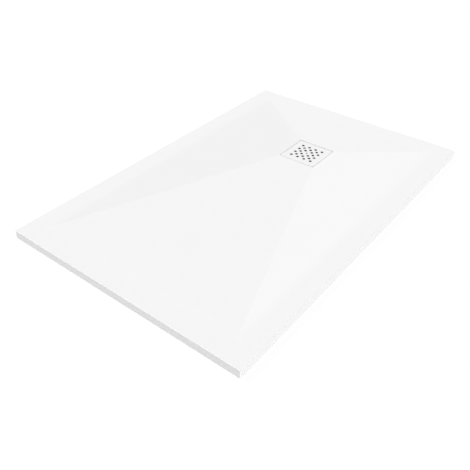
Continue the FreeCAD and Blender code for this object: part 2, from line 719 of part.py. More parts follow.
def build_screws():
    """The countersunk screws, as one group of separate solids."""
    body = new_body("flange_screws")
    body.AllowCompound = True
    at_drain_between(body, "screw_count")
    sketch = new_sketch(body, "screw_section", "XZ_Plane")
    sketch.setExpression("AttachmentOffset.Base.x", formula("screw_circle"))
    draw_outline(sketch, [
        ("0", "screw_tip"), ("screw_radius - screw_tip_bevel", "screw_tip"),
        ("screw_radius", "screw_tip + screw_tip_bevel"),
        ("screw_radius", "flange_top - screw_head_flare"),
        ("screw_radius + screw_head_flare", "flange_top"), ("0", "flange_top")])
    screw = revolve(body, "screw_turned", sketch)
    key = new_sketch(body, "key_outline", "XY_Plane", "flange_top")
    draw_hexagon(key, "screw_circle", "screw_key_radius")
    socket = pocket(body, "screw_key", key, "screw_key_depth")
    round_pattern(body, "screws_round", [screw, socket], "screw_count", adds=True)
    return body


def build_inserts():
    """The brass inserts that take the screws, as one group of separate solids."""
    body = new_body("screw_inserts")
    body.AllowCompound = True
    at_drain_between(body, "screw_count")
    sketch = new_sketch(body, "insert_section", "XZ_Plane")
    sketch.setExpression("AttachmentOffset.Base.x", formula("screw_circle"))
    middle = "boss_top - insert_length / 2"
    floor_half = "insert_groove_width / 2"
    mouth_half = "(insert_groove_width / 2 + insert_groove_depth)"
    waist = "insert_radius - insert_groove_depth"
    draw_outline(sketch, [
        ("insert_bore", "insert_base"), ("insert_radius", "insert_base"),
        ("insert_radius", f"{middle} - {mouth_half}"), (waist, f"{middle} - {floor_half}"),
        (waist, f"{middle} + {floor_half}"), ("insert_radius", f"{middle} + {mouth_half}"),
        ("insert_radius", "boss_top"), ("insert_bore", "boss_top")])
    insert = revolve(body, "insert_turned", sketch)
    round_pattern(body, "inserts_round", [insert], "screw_count", adds=True)
    return body


# ------------------------------------------------------------------- the trap

def draw_socket(sketch):
    """The pipe's socket with its coned mouth, above the outlet's axis."""
    draw_outline(sketch, [
        ("socket_start", "outlet_z"), ("spigot_reach", "outlet_z"),
        ("spigot_reach", "outlet_z + mouth_radius"), ("mouth_start", "outlet_z + socket_bore"),
        ("socket_start", "outlet_z + socket_bore")])
    level = value("outlet_z")
    centre_line = draw_line(sketch, Vector(0, level, 0), Vector(value("spigot_reach"), level, 0),
                            helper=True)
    pin_point(sketch, centre_line, START, "0", "outlet_z")
    pin_point(sketch, centre_line, END, "spigot_reach", "outlet_z")


def draw_boss(sketch):
    """A boss that is round towards the drain and runs straight into the wall."""
    centre = value("screw_circle")
    radius = value("boss_radius")
    wall = value("trap_middle")
    circle = Part.Circle(Vector(centre, 0, 0), UP, radius)
    arc = sketch.addGeometry(Part.ArcOfCircle(circle, math.pi / 2, 3 * math.pi / 2), False)
    lower = draw_line(sketch, Vector(centre, -radius, 0), Vector(wall, -radius, 0))
    root = draw_line(sketch, Vector(wall, -radius, 0), Vector(wall, radius, 0))
    upper = draw_line(sketch, Vector(wall, radius, 0), Vector(centre, radius, 0))
    constrain(sketch, "Tangent", arc, END, lower, START)
    constrain(sketch, "Coincident", lower, END, root, START)
    constrain(sketch, "Coincident", root, END, upper, START)
    constrain(sketch, "Tangent", upper, END, arc, START)
    constrain(sketch, "Horizontal", lower)
    constrain(sketch, "Vertical", root)
    constrain(sketch, "Horizontal", upper)
    pin_point(sketch, arc, CENTRE, "screw_circle", "0")
    bind(sketch, "Radius", arc, to="boss_radius")
    bind(sketch, "DistanceX", -1, START, root, START, to="trap_middle")


def build_trap():
    body = new_body("trap_body")
    at_drain(body)
    turned_profile(body, "trap_outside", "trap_turned", [
        ("0", "trap_base"), ("trap_radius - trap_bevel", "trap_base"),
        ("trap_radius", "trap_base + trap_bevel"), ("trap_radius", "trap_rim_base"),
        ("trap_rim_radius", "trap_rim_base"), ("trap_rim_radius", "trap_top"),
        ("0", "trap_top")])

    gusset = new_sketch(body, "gusset_outline", "XZ_Plane", turn="180 / gusset_count",
                        turn_axis=Vector(0, 1, 0))
    gusset_end = "trap_rim_base - gusset_drop"
    draw_outline(gusset, [("trap_middle", "trap_rim_base"), ("trap_rim_radius", "trap_rim_base"),
                          ("trap_radius", gusset_end), ("trap_middle", gusset_end)])
    first_gusset = pad(body, "gusset", gusset, "gusset_thickness", both_ways=True)
    round_pattern(body, "gussets", [first_gusset], "gusset_count", adds=True)

    spigot = new_sketch(body, "spigot_outline", "XZ_Plane")
    draw_circle(spigot, "0", "outlet_z", "spigot_radius")
    pad(body, "spigot", spigot, "spigot_reach", down=True)

    inside = new_sketch(body, "trap_inside", "XZ_Plane")
    draw_outline(inside, [("0", "trap_floor"), ("trap_bore - trap_inner_bevel", "trap_floor"),
                          ("trap_bore", "trap_floor + trap_inner_bevel"),
                          ("trap_bore", "trap_top"), ("0", "trap_top")])
    revolve(body, "chamber", inside, cuts=True)

    passage = new_sketch(body, "passage_outline", "XZ_Plane")
    draw_circle(passage, "0", "outlet_z", "outlet_bore")
    pocket(body, "passage", passage, "spigot_reach")
    socket = new_sketch(body, "socket_section", "YZ_Plane")
    draw_socket(socket)
    revolve(body, "socket", socket, axis="Axis0", cuts=True)

    boss = new_sketch(body, "boss_outline", "XY_Plane", "boss_top", "180 / screw_count")
    draw_boss(boss)
    first_boss = pad(body, "boss", boss, "boss_length", down=True)
    round_pattern(body, "bosses", [first_boss], "screw_count", adds=True)
    bore = new_sketch(body, "insert_bore_outline", "XY_Plane", "boss_top", "180 / screw_count")
    draw_circle(bore, "screw_circle", "0", "boss_bore")
    first_bore = pocket(body, "insert_bore", bore, "insert_length + insert_drill")
    round_pattern(body, "insert_bores", [first_bore], "screw_count", adds=False)
    return body


# --------------------------------------- the lift-out head, dip tube and cup

def build_head():
    """The funnel-shaped head, with its seal groove, ledge and lifting bar."""
    body = new_body("dip_tube_head")
    at_drain(body)
    groove_half = "(seal_section_radius + seal_groove_slack)"
    groove_floor = "head_radius - 2 * seal_section_radius"
    turned_profile(body, "head_section", "head_turned", [
        ("tube_bore", "neck_end"), ("tube_radius", "neck_end"),
        ("lip_bore - head_gap", "lip_top"), ("head_radius", "lip_top"),
        ("head_radius", f"seal_level - {groove_half}"),
        (groove_floor, f"seal_level - {groove_half}"),
        (groove_floor, f"seal_level + {groove_half}"),
        ("head_radius", f"seal_level + {groove_half}"), ("head_radius", "head_top"),
        ("head_bore", "head_top"), ("head_bore", "ledge_top"), ("throat_radius", "ledge_top"),
        ("throat_radius", "funnel_top"), ("tube_bore", "funnel_end")])
    bar = new_sketch(body, "handle_outline", "XY_Plane", "handle_top")
    half = "handle_width / 2"
    draw_outline(bar, [("-handle_reach", f"-{half}"), ("handle_reach", f"-{half}"),
                       ("handle_reach", half), ("-handle_reach", half)])
    pad(body, "handle", bar, "handle_height", down=True)
    return body


def build_seal():
    """The O-ring round the head."""
    ring = doc.addObject("Part::Torus", "dip_tube_seal")
    ring.Label = "dip_tube_seal"
    centre = "collar_bore - seal_squeeze_gap - seal_section_radius"
    ring.setExpression("Radius1", formula(centre))
    ring.setExpression("Radius2", formula("seal_section_radius"))
    ring.setExpression("Placement.Base.y", formula("drain_y"))
    ring.setExpression("Placement.Base.z", formula("seal_level"))
    return ring


def build_dip_tube():
    """The tube, welded under the head, with ribs that hang the cup on it."""
    body = new_body("dip_tube")
    at_drain(body)
    turned_profile(body, "tube_section", "tube_turned", [
        ("tube_bore", "tube_end"), ("tube_radius", "tube_end"),
        ("tube_radius", "neck_end"), ("tube_bore", "neck_end")])
    rib = new_sketch(body, "rib_outline", "XZ_Plane", turn="180 / rib_count",
                     turn_axis=Vector(0, 1, 0))
    edge = "cup_bore - rib_fit"
    lug_top = "cup_rim + rib_lug"
    draw_outline(rib, [("tube_middle", "rib_base"), (edge, "rib_base"), (edge, "cup_rim"),
                       ("cup_radius", "cup_rim"), ("cup_radius", lug_top),
                       ("tube_middle", lug_top)])
    first_rib = pad(body, "rib", rib, "rib_thickness", both_ways=True)
    round_pattern(body, "ribs", [first_rib], "rib_count", adds=True)
    return body


def build_cup():
    body = new_body("trap_cup")
    at_drain(body)
    turned_profile(body, "cup_section", "cup_turned", [
        ("0", "cup_base"), ("cup_radius - cup_wall", "cup_base"),
        ("cup_radius", "cup_base + cup_wall"), ("cup_radius", "cup_rim"),
        ("cup_bore", "cup_rim"), ("cup_bore", "cup_floor"), ("0", "cup_floor")])
    foot = new_sketch(body, "cup_foot_outline", "XY_Plane", "cup_base", turn="90")
    draw_circle(foot, "cup_foot_circle", "0", "cup_foot_radius")
    first_foot = pad(body, "cup_foot", foot, "cup_foot_height", down=True)
    round_pattern(body, "cup_feet", [first_foot], "cup_foot_count", adds=True)
    return body


def build_strainer():
    """The perforated disc with its rim and its knob."""
    body = new_body("hair_strainer")
    at_drain(body)
    rim_bore = "strainer_radius - strainer_rim_width"
    rim_top = "ledge_top + strainer_rim_height"
    knob_base = "knob_top - knob_thickness"
    knob_flat = "knob_radius - knob_bevel"
    turned_profile(body, "strainer_section", "strainer_turned", [
        ("0", "ledge_top"), ("strainer_radius", "ledge_top"), ("strainer_radius", rim_top),
        (rim_bore, rim_top), (rim_bore, "disc_top"), ("knob_neck_radius", "disc_top"),
        ("knob_neck_radius", knob_base), (knob_flat, knob_base),
        ("knob_radius", f"{knob_base} + knob_bevel"), ("knob_radius", "knob_top - knob_bevel"),
        (knob_flat, "knob_top"), ("0", "knob_top")])
    room = value(f"{rim_bore} - strainer_hole_radius - strainer_first_ring")
    rings = 1 + math.floor(room / value("strainer_ring_pitch"))
    for ring in range(rings):
        sketch = new_sketch(body, f"ring_{ring}_outline", "XY_Plane", "disc_top", turn="90")
        reach = f"(strainer_first_ring + {ring} * strainer_ring_pitch)"
        draw_circle(sketch, reach, "0", "strainer_hole_radius")
        first = pocket(body, f"ring_{ring}_hole", sketch, "strainer_thickness")
        around = f"round(2 * pi * {reach} / strainer_hole_spacing)"
        round_pattern(body, f"ring_{ring}_holes", [first], around, adds=False)
    return body


# ------------------------------------------------------------ the pipe's joint

def build_cone_washer():
    body = new_body("outlet_cone_washer")
    along_outlet(body)
    turned_profile(body, "washer_section", "washer_turned", [
        ("washer_bore", "washer_start"), ("washer_radius", "spigot_reach"),
        ("washer_radius", "washer_end"), ("washer_bore", "washer_end")])
    return body


def build_slip_ring():
    body = new_body("outlet_slip_ring")
    along_outlet(body)
    turned_profile(body, "slip_ring_section", "slip_ring_turned", [
        ("slip_ring_bore", "washer_end"), ("slip_ring_radius", "washer_end"),
        ("slip_ring_radius", "slip_ring_end"), ("slip_ring_bore", "slip_ring_end")])
    return body


def build_nut():
    body = new_body("outlet_nut")
    along_outlet(body)
    turned_profile(body, "nut_section", "nut_turned", [
        ("nut_bore", "nut_start"), ("nut_radius - nut_bevel", "nut_start"),
        ("nut_radius", "nut_start + nut_bevel"), ("nut_radius", "nut_end - nut_bevel"),
        ("nut_radius - nut_bevel", "nut_end"), ("nut_lip_bore", "nut_end"),
        ("nut_lip_bore", "slip_ring_end"), ("nut_bore", "slip_ring_end")])
    rib = new_sketch(body, "grip_outline", "XY_Plane", "nut_start + nut_rib_setback")
    draw_circle(rib, "nut_radius", "0", "nut_rib_radius")
    first_rib = pad(body, "grip_rib", rib, "nut_length - 2 * nut_rib_setback")
    round_pattern(body, "grip_ribs", [first_rib], "nut_rib_count", adds=True)
    return body


# --------------------------------------------------------------- the assembly

sub_parts = [build_tray(), build_grate()]
foot_sides = ((-1, -1), (1, -1), (1, 1), (-1, 1))
for number, (x_side, y_side) in enumerate(foot_sides, start=1):
    sub_parts.append(build_foot(number, x_side, y_side))
sub_parts.append(build_gasket("flange_gasket", "flange_radius", "well_floor",
                              "flange_gasket_thickness"))
sub_parts.append(build_flange())
sub_parts.append(build_screws())
sub_parts.append(build_inserts())
sub_parts.append(build_gasket("body_gasket", "trap_rim_radius", "trap_top",
                              "body_gasket_thickness"))
sub_parts.append(build_trap())
sub_parts.append(build_head())
sub_parts.append(build_seal())
sub_parts.append(build_dip_tube())
sub_parts.append(build_cup())
sub_parts.append(build_strainer())
sub_parts.append(build_cone_washer())
sub_parts.append(build_slip_ring())
sub_parts.append(build_nut())
doc.recompute()

for item in doc.Objects:
    if "Invalid" in item.State or "Error" in item.State:
        raise RuntimeError(f"{item.Name} failed: {item.State}")
for part in sub_parts:
    if part.Shape.isNull() or not part.Shape.isValid():
        raise RuntimeError(f"{part.Label} has no valid shape")

os.makedirs("parts", exist_ok=True)
for part in sub_parts:
    part.Shape.exportStep(os.path.join("parts", part.Label + ".step"))
    box = part.Shape.BoundBox
    print(f"{part.Label}: {len(part.Shape.Solids)} solid, {part.Shape.Volume / 1000:.2f} cm3, "
          f"z {box.ZMin:.2f} to {box.ZMax:.2f}")
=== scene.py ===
# %% [markdown]
# # A shower tray and its waste, made ready for a studio picture
# The solids of this shower tray were built in CAD and packed as a frame: every piece
# already has its true size and its true place. This lesson gives each piece the finish
# of the real material, adds the thread that the CAD leaves off the waste's outlet, and
# sets up the camera and the light. The first step is always to load the frame.

# %% Load the frame
import json
import math

import bmesh
import bpy
from mathutils import Matrix, Vector


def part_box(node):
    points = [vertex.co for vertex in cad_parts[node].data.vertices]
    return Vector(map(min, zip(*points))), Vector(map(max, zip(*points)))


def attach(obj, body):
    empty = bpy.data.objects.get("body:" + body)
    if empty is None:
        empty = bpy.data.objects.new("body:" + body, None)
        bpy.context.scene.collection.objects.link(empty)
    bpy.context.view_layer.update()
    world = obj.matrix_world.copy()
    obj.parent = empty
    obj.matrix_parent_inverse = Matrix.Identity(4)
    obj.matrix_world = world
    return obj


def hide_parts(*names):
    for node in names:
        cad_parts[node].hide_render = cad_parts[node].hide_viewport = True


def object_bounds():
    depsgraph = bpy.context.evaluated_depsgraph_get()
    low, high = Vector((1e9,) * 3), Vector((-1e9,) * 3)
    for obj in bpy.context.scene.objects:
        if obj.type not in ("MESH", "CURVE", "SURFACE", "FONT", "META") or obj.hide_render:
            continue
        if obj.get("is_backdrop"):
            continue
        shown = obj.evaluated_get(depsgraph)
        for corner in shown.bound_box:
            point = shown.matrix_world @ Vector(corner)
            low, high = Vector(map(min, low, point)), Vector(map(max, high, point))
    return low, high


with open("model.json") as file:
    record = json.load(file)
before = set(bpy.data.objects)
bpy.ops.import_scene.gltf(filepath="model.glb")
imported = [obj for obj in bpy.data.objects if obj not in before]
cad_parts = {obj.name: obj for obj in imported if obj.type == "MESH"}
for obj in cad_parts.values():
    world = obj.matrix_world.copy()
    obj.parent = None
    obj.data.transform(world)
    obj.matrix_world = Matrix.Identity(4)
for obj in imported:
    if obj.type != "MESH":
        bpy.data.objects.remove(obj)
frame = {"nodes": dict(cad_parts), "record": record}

nodes = frame["nodes"]
cad_box = [list(corner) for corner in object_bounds()]
print("Pieces in the frame:", ", ".join(sorted(nodes)))
print("Size of the CAD box in mm:", [round(1000 * (high - low)) for low, high in zip(*cad_box)])

# %% [markdown]
# ## Two helpers for materials
# Paint makers, plastics catalogues and web pages all give colours as hex values. Those
# are display values, and Blender's shaders want linear light, so one function turns one
# into the other. The second helper adds a node, sets it up and links it in one call,
# which keeps each material short enough to read as a recipe.

# %% Colour and node helpers
def linear(hex_text):
    """The linear colour, with alpha, of an sRGB value such as "#F4F4F3"."""
    shares = [int(hex_text[place:place + 2], 16) / 255 for place in (1, 3, 5)]
    light = [share / 12.92 if share <= 0.04045 else ((share + 0.055) / 1.055) ** 2.4
             for share in shares]
    return (*light, 1.0)


def add_node(tree, kind, links=None, **settings):
    """Adds a node. Each setting is one of its properties, and each link fills an input
    with a value or with another node's output."""
    node = tree.nodes.new(kind)
    for name, setting in settings.items():
        setattr(node, name, setting)
    for socket, source in (links or {}).items():
        if isinstance(source, bpy.types.NodeSocket):
            tree.links.new(source, node.inputs[socket])
        else:
            node.inputs[socket].default_value = source
    return node


print("A middle grey, #808080, is", round(linear("#808080")[0], 3), "in linear light")

# %% [markdown]
# ## The camera
# The picture was taken from above one short end, with the long sides running away to
# the upper left. The lens, the distance and the direction were worked out from the
# tray's corners and edges, so the tray fills the same part of the frame. Azimuth turns
# round the object, elevation is the height above the horizon, and a trace of roll
# levels the frame.

# %% Camera
MM = 0.001
AZIMUTH, ELEVATION, ROLL = map(math.radians, (38.057, 37.943, 0.108))
AIM = Vector((77.557, -207.736, 0.0)) * MM
DISTANCE = 1665.146 * MM
SENSOR_WIDTH, FOCAL_LENGTH = 36.0, 44.680     # Blender keeps these two in millimetres

towards_camera = Vector((
    math.sin(AZIMUTH) * math.cos(ELEVATION),
    -math.cos(AZIMUTH) * math.cos(ELEVATION),
    math.sin(ELEVATION),
))
camera = bpy.data.objects.new("camera", bpy.data.cameras.new("camera"))
camera.data.sensor_width = SENSOR_WIDTH
camera.data.lens = FOCAL_LENGTH
camera.rotation_mode = "QUATERNION"
camera.location = AIM + towards_camera * DISTANCE
level_view = (-towards_camera).to_track_quat("-Z", "Y").to_matrix()
camera.rotation_quaternion = (Matrix.Rotation(ROLL, 3, towards_camera) @ level_view).to_quaternion()
bpy.context.scene.collection.objects.link(camera)
bpy.context.scene.camera = camera
bpy.context.scene.view_settings.view_transform = "Standard"
print("Camera at", [round(1000 * c) for c in camera.location], "mm")

# %% [markdown]
# ## The white room
# White goods are pictured in a white room, where light comes from all round. Above the
# floor that light is weak, because a large panel will do most of the work. Below it,
# where only the waste hangs, it is strong, because no lamp reaches there. The camera,
# and anything shiny, sees the room as plain white and not the lamps.

# %% World
WHITE = linear("#FFFFFF")
ROOM_LIGHT = 0.23
LIGHT_BELOW_FLOOR = 0.8
SOFT_HORIZON = 0.1      # how far down the change reaches: 0 is level, 1 is straight down


def seen_directly(tree):
    """1 for the camera and for reflections and views through glass, otherwise 0."""
    rays = add_node(tree, "ShaderNodeLightPath").outputs
    first = add_node(tree, "ShaderNodeMath", {0: rays["Is Camera Ray"], 1: rays["Is Glossy Ray"]},
                     operation="MAXIMUM")
    return add_node(tree, "ShaderNodeMath", {0: first.outputs[0], 1: rays["Is Transmission Ray"]},
                    operation="MAXIMUM").outputs[0]


world = bpy.data.worlds.new("white_room")
world.use_nodes = True
bpy.context.scene.world = world
room = world.node_tree
room.nodes.clear()
direction = add_node(room, "ShaderNodeTexCoord").outputs["Generated"]
upward = add_node(room, "ShaderNodeSeparateXYZ", {0: direction}).outputs["Z"]
strength = add_node(room, "ShaderNodeMapRange",
                    {"Value": upward, "From Min": -SOFT_HORIZON, "From Max": 0.0,
                     "To Min": LIGHT_BELOW_FLOOR, "To Max": ROOM_LIGHT}).outputs[0]
lit = add_node(room, "ShaderNodeBackground", {"Color": WHITE, "Strength": strength})
shown = add_node(room, "ShaderNodeBackground", {"Color": WHITE, "Strength": 1.0})
either = add_node(room, "ShaderNodeMixShader",
                  {0: seen_directly(room), 1: lit.outputs[0], 2: shown.outputs[0]})
add_node(room, "ShaderNodeOutputWorld", {"Surface": either.outputs[0]})
print("Light from all round:", ROOM_LIGHT, "and below the floor:", LIGHT_BELOW_FLOOR)

# %% [markdown]
# ## Two panels and three low lamps
# The main panel stands on the left. It leaves the left fall a little darker and the
# right one a little lighter, and so makes the shallow basin readable. A weaker one,
# higher up on the right, fills the rounded edge on that side. Three far lamps stand so
# low that their light only meets the tray's upright sides and passes over the rim. All
# five are suns, which light the whole length of a long tray alike: a wide angle makes
# one a panel. Together with the room they give a level white surface about as much light
# as it needs to show its own colour.

# %% The lamps
WIDE, NARROW = math.radians(40), 0.0
HORIZON = 0.02
LAMP_AWAY, LAMP_UP = 2.0, 1.0     # metres: only for the eye, because a sun has no place
LAMPS = {
    # name: (turn from the near end and elevation in degrees, light on a surface that
    # faces the lamp, white being 1, and angle)
    "panel_left": (-90, 40, 0.95, WIDE),
    "panel_right": (90, 60, 0.19, WIDE),
    "low_right": (90, HORIZON, 0.715, NARROW),
    "low_near": (0, HORIZON, 0.51, NARROW),
    "low_far": (180, HORIZON, 0.51, NARROW),
}
for name, (turn, elevation, light, angle) in LAMPS.items():
    sun = bpy.data.lights.new(name, "SUN")
    sun.energy = math.pi * light
    sun.angle = angle
    lamp = bpy.data.objects.new(name, sun)
    sideways, endways = math.sin(math.radians(turn)), -math.cos(math.radians(turn))
    lamp.location = (LAMP_AWAY * sideways, LAMP_AWAY * endways, LAMP_UP)
    lamp.rotation_euler = (math.radians(90 - elevation), 0, math.radians(turn))
    lamp.visible_glossy = False
    bpy.context.scene.collection.objects.link(lamp)
    print(name, "gives a level face", round(light * math.sin(math.radians(elevation)), 4))

# %% [markdown]
# ## The floor
# A tray like this lies on a level bed, and its waste hangs in a recess under it. The
# floor is therefore one flat sheet with an opening a little smaller than the tray,
# which hides the opening's edge. Four faces round the opening are enough for a sheet.

# %% Floor
FLOOR_REACH = 250.0     # metres, which keeps the low lamps off the waste under the floor
BED_OVERLAP = 1 * MM    # the floor reaches this far in under the tray
BED_GAP = 0.2 * MM      # and lies this far below it

tray_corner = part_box("tray")[1]     # half its size, because it lies round the middle
inner_x, inner_y = tray_corner.x - BED_OVERLAP, tray_corner.y - BED_OVERLAP


def floor_corners(mesh, half_x, half_y):
    """The four corners, in turn, of a rectangle round the middle of the floor."""
    return [mesh.verts.new((side * half_x, end * half_y, -BED_GAP))
            for side, end in ((-1, -1), (1, -1), (1, 1), (-1, 1))]


mesh = bmesh.new()
outer = floor_corners(mesh, FLOOR_REACH, FLOOR_REACH)
inner = floor_corners(mesh, inner_x, inner_y)
for corner in range(4):
    following = (corner + 1) % 4
    mesh.faces.new((outer[corner], outer[following], inner[following], inner[corner]))
floor_mesh = bpy.data.meshes.new("floor")
mesh.to_mesh(floor_mesh)
mesh.free()
floor = bpy.data.objects.new("floor", floor_mesh)
bpy.context.scene.collection.objects.link(floor)
floor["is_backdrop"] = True
print("Opening in the floor:", round(2 * inner_x / MM), "x", round(2 * inner_y / MM), "mm")

# %% [markdown]
# ## The floor's white paint
# Part of the white is given to the camera directly, so the floor stays white in the
# picture, and the rest is lit, so the tray still leaves its soft shadow. The light that
# the floor throws back onto the tray is a steady one, which keeps the narrow sides free
# of speckle, and a weak one, so the side next to the main panel isn't washed out. From
# below the camera looks through the floor, and so sees the waste.

# %% The floor's paint
FLOOR_GLOW = 0.94       # the part of its white that needs no light
FLOOR_SHADE = 0.08      # the part that shows the shadow
FLOOR_BOUNCE = 0.15     # what it throws back

white_floor = bpy.data.materials.new("white_painted_floor")
white_floor.use_nodes = True
white_floor.cycles.emission_sampling = "NONE"   # its glow is for the camera, so it is no lamp
paint = white_floor.node_tree
paint.nodes.clear()
camera_ray = add_node(paint, "ShaderNodeLightPath").outputs["Is Camera Ray"]
underneath = add_node(paint, "ShaderNodeNewGeometry").outputs["Backfacing"]
from_below = add_node(paint, "ShaderNodeMath", {0: camera_ray, 1: underneath}, operation="MULTIPLY")
bounce = add_node(paint, "ShaderNodeEmission", {"Color": WHITE, "Strength": FLOOR_BOUNCE})
shade = add_node(paint, "ShaderNodeBsdfDiffuse", {"Color": (FLOOR_SHADE, FLOOR_SHADE, FLOOR_SHADE, 1)})
glow = add_node(paint, "ShaderNodeEmission", {"Color": WHITE, "Strength": FLOOR_GLOW})
seen = add_node(paint, "ShaderNodeAddShader", {0: shade.outputs[0], 1: glow.outputs[0]})
either = add_node(paint, "ShaderNodeMixShader",
                  {0: seen_directly(paint), 1: bounce.outputs[0], 2: seen.outputs[0]})
clear = add_node(paint, "ShaderNodeBsdfTransparent")
sheet = add_node(paint, "ShaderNodeMixShader",
                 {0: from_below.outputs[0], 1: either.outputs[0], 2: clear.outputs[0]})
add_node(paint, "ShaderNodeOutputMaterial", {"Surface": sheet.outputs[0]})
floor_mesh.materials.append(white_floor)
print("The camera sees the floor at", round(FLOOR_GLOW + FLOOR_SHADE, 2), "in full light")

# %% [markdown]
# ## How the finishes are made up
# Most pieces here are one material with a quiet surface: a base colour that drifts a
# little from place to place, and a fine relief left by the mould or the spray gun. One
# recipe serves them all. It takes two close colours and the size of their patches, and
# the grain's width and depth, all in millimetres on the real piece. The values that are
# the same everywhere, such as roughness, are typed on the shader's own sockets.

# %% The common recipe
# The Mix node has sockets of the same name for each kind of value, so its colour
# sockets are found by number.
MIX_FACTOR, MIX_A, MIX_B, MIX_RESULT = 0, 6, 7, 2


def finish(name, colours, patch, grain, depth, **shader_values):
    """A material whose colour drifts between two values over patches of the given size,
    with a relief of the given grain and depth (all in mm). The other values go to the
    shader's sockets, with _ for a blank. Returns the material and its parts."""
    material = bpy.data.materials.new(name)
    material.use_nodes = True
    tree = material.node_tree
    tree.nodes.clear()
    place = add_node(tree, "ShaderNodeTexCoord").outputs["Object"]
    drift = add_node(tree, "ShaderNodeTexNoise",
                     {"Vector": place, "Scale": 1 / (patch * MM), "Detail": 3.0, "Roughness": 0.5})
    colour = add_node(tree, "ShaderNodeMix",
                      {MIX_FACTOR: drift.outputs[0], MIX_A: linear(colours[0]),
                       MIX_B: linear(colours[1])}, data_type="RGBA")
    pits = add_node(tree, "ShaderNodeTexNoise",
                    {"Vector": place, "Scale": 1 / (grain * MM), "Detail": 2.0, "Roughness": 0.55})
    relief = add_node(tree, "ShaderNodeBump",
                      {"Height": pits.outputs[0], "Strength": 1.0, "Distance": depth * MM})
    shader = add_node(tree, "ShaderNodeBsdfPrincipled",
                      {"Base Color": colour.outputs[MIX_RESULT], "Normal": relief.outputs[0],
                       **{key.replace("_", " "): value for key, value in shader_values.items()}})
    add_node(tree, "ShaderNodeOutputMaterial", {"Surface": shader.outputs[0]})
    print("Made", name)
    return material, {"tree": tree, "place": place, "colour": colour, "relief": relief,
                      "shader": shader}


# %% [markdown]
# ## White gelcoat over cast mineral resin
# The tray is cast face down in a mould that was first sprayed with gelcoat, a hard
# polyester skin. Out of the mould the face is an even satin white with hardly any
# texture, while the underside is the bare casting: a filled resin, greyer, rougher and
# speckled with crushed stone. Both belong to one casting, so one material holds both,
# and the direction that the surface faces picks the one or the other.

# %% The gelcoat
GELCOAT_ROUGHNESS = 0.65
gelcoat, parts = finish(
    "satin_gelcoat_on_cast_mineral_resin", ("#F6F6F6", "#F4F4F4"), patch=90,
    grain=3.5,      # the real grain is under 1 mm: drawn coarser, so that it shows at all
    depth=0.004, Roughness=GELCOAT_ROUGHNESS, IOR=1.5, Specular_IOR_Level=0.3,
)

# %% [markdown]
# ## The bare casting under the skin
# Where a face looks down, the skin ends. A cell texture makes the speckle of crushed
# stone there, because stones have edges and a soft noise has none.

# %% The bare casting
CASTING_ROUGHNESS = 0.85
STONE = 1.4     # the crushed stone is 0.1 to 0.6 mm: drawn coarser, so that it shows
SKIN_ENDS, CASTING_STARTS = -0.2, -0.7      # upward part of the normal: -1 looks straight down

tree = parts["tree"]
normal = add_node(tree, "ShaderNodeNewGeometry").outputs["Normal"]
upward = add_node(tree, "ShaderNodeSeparateXYZ", {0: normal}).outputs["Z"]
underside = add_node(tree, "ShaderNodeMapRange",
                     {"Value": upward, "From Min": SKIN_ENDS, "From Max": CASTING_STARTS}).outputs[0]
stone = add_node(tree, "ShaderNodeTexVoronoi",
                 {"Vector": parts["place"], "Scale": 1 / (STONE * MM), "Randomness": 1.0})
casting = add_node(tree, "ShaderNodeMix",
                   {MIX_FACTOR: stone.outputs["Distance"], MIX_A: linear("#C2C0B9"),
                    MIX_B: linear("#D6D4CE")}, data_type="RGBA")
both = add_node(tree, "ShaderNodeMix",
                {MIX_FACTOR: underside, MIX_A: parts["colour"].outputs[MIX_RESULT],
                 MIX_B: casting.outputs[MIX_RESULT]}, data_type="RGBA")
tree.links.new(both.outputs[MIX_RESULT], parts["shader"].inputs["Base Color"])
roughness = add_node(tree, "ShaderNodeMapRange",
                     {"Value": underside, "To Min": GELCOAT_ROUGHNESS,
                      "To Max": CASTING_ROUGHNESS}).outputs[0]
tree.links.new(roughness, parts["shader"].inputs["Roughness"])
print("Speckles of", STONE, "mm on the faces that look down")

# %% [markdown]
# ## Stoved white enamel on pressed steel
# The grate is punched and folded from sheet steel, then sprayed white and stoved. The
# paint flows before it sets, so the faces are smooth with a very shallow orange peel
# about two millimetres across, and they are a touch glossier than the tray. A bump is
# all that a relief this shallow needs, and it costs no faces.

# %% Grate finish
enamel, _ = finish(
    "stoved_white_enamel_on_pressed_steel", ("#F3F3F3", "#F1F1F1"), patch=30,
    grain=2.0, depth=0.006, Roughness=0.32, IOR=1.5,
)

# %% [markdown]
# ## Moulded black rubber
# Feet, gaskets, the O-ring and the cone washer are moulded rubber. It is almost black
# and fully matt, with a bloom of fine dust from the mould that greys it in patches. The
# dust could be a layer of its own over the black, but a drift between two near blacks
# gives the same patches. The real grain is a few tenths of a millimetre and is drawn at
# 0.8, so that it shows.

# %% Rubber
rubber, _ = finish(
    "moulded_black_rubber", ("#161617", "#2A2A2A"), patch=9,
    grain=0.8, depth=0.03, Roughness=0.78, IOR=1.52,
)

# %% [markdown]
# ## Injection-moulded ABS
# The clamp flange, the lift-out insert and the hair strainer are black ABS, so that the
# holes of the grate look dark from above: their black is painted shade, standing in for
# the dark inside the holes. The mould was spark-eroded, which leaves a fine, even frost of
# about a third of a millimetre, drawn here three times as coarse so that it shows. Pits
# this small never change the outline, so a bump makes them. They also hold back about half
# of the shine, which the lower specular level stands for.

# %% Black ABS
# the black of these pieces is painted shade for the dark inside the grate's holes
abs_plastic, _ = finish(
    "spark_textured_black_abs", ("#101112", "#181919"), patch=25,
    grain=1.0, depth=0.02, Roughness=0.48, IOR=1.54, Specular_IOR_Level=0.28,
)

# %% [markdown]
# ## Injection-moulded polypropylene
# Traps are made of polypropylene, because hot and soapy water leaves it alone. It is a
# waxy plastic: a soft shine, a little light that goes in and comes out again, and faint
# clouds where the melt flowed round the core. A plain mould leaves a shallow ripple a
# little over a millimetre wide. Light scattered under the surface gives the light grey
# its waxy look. In the black it wouldn't show, so it is left out there.

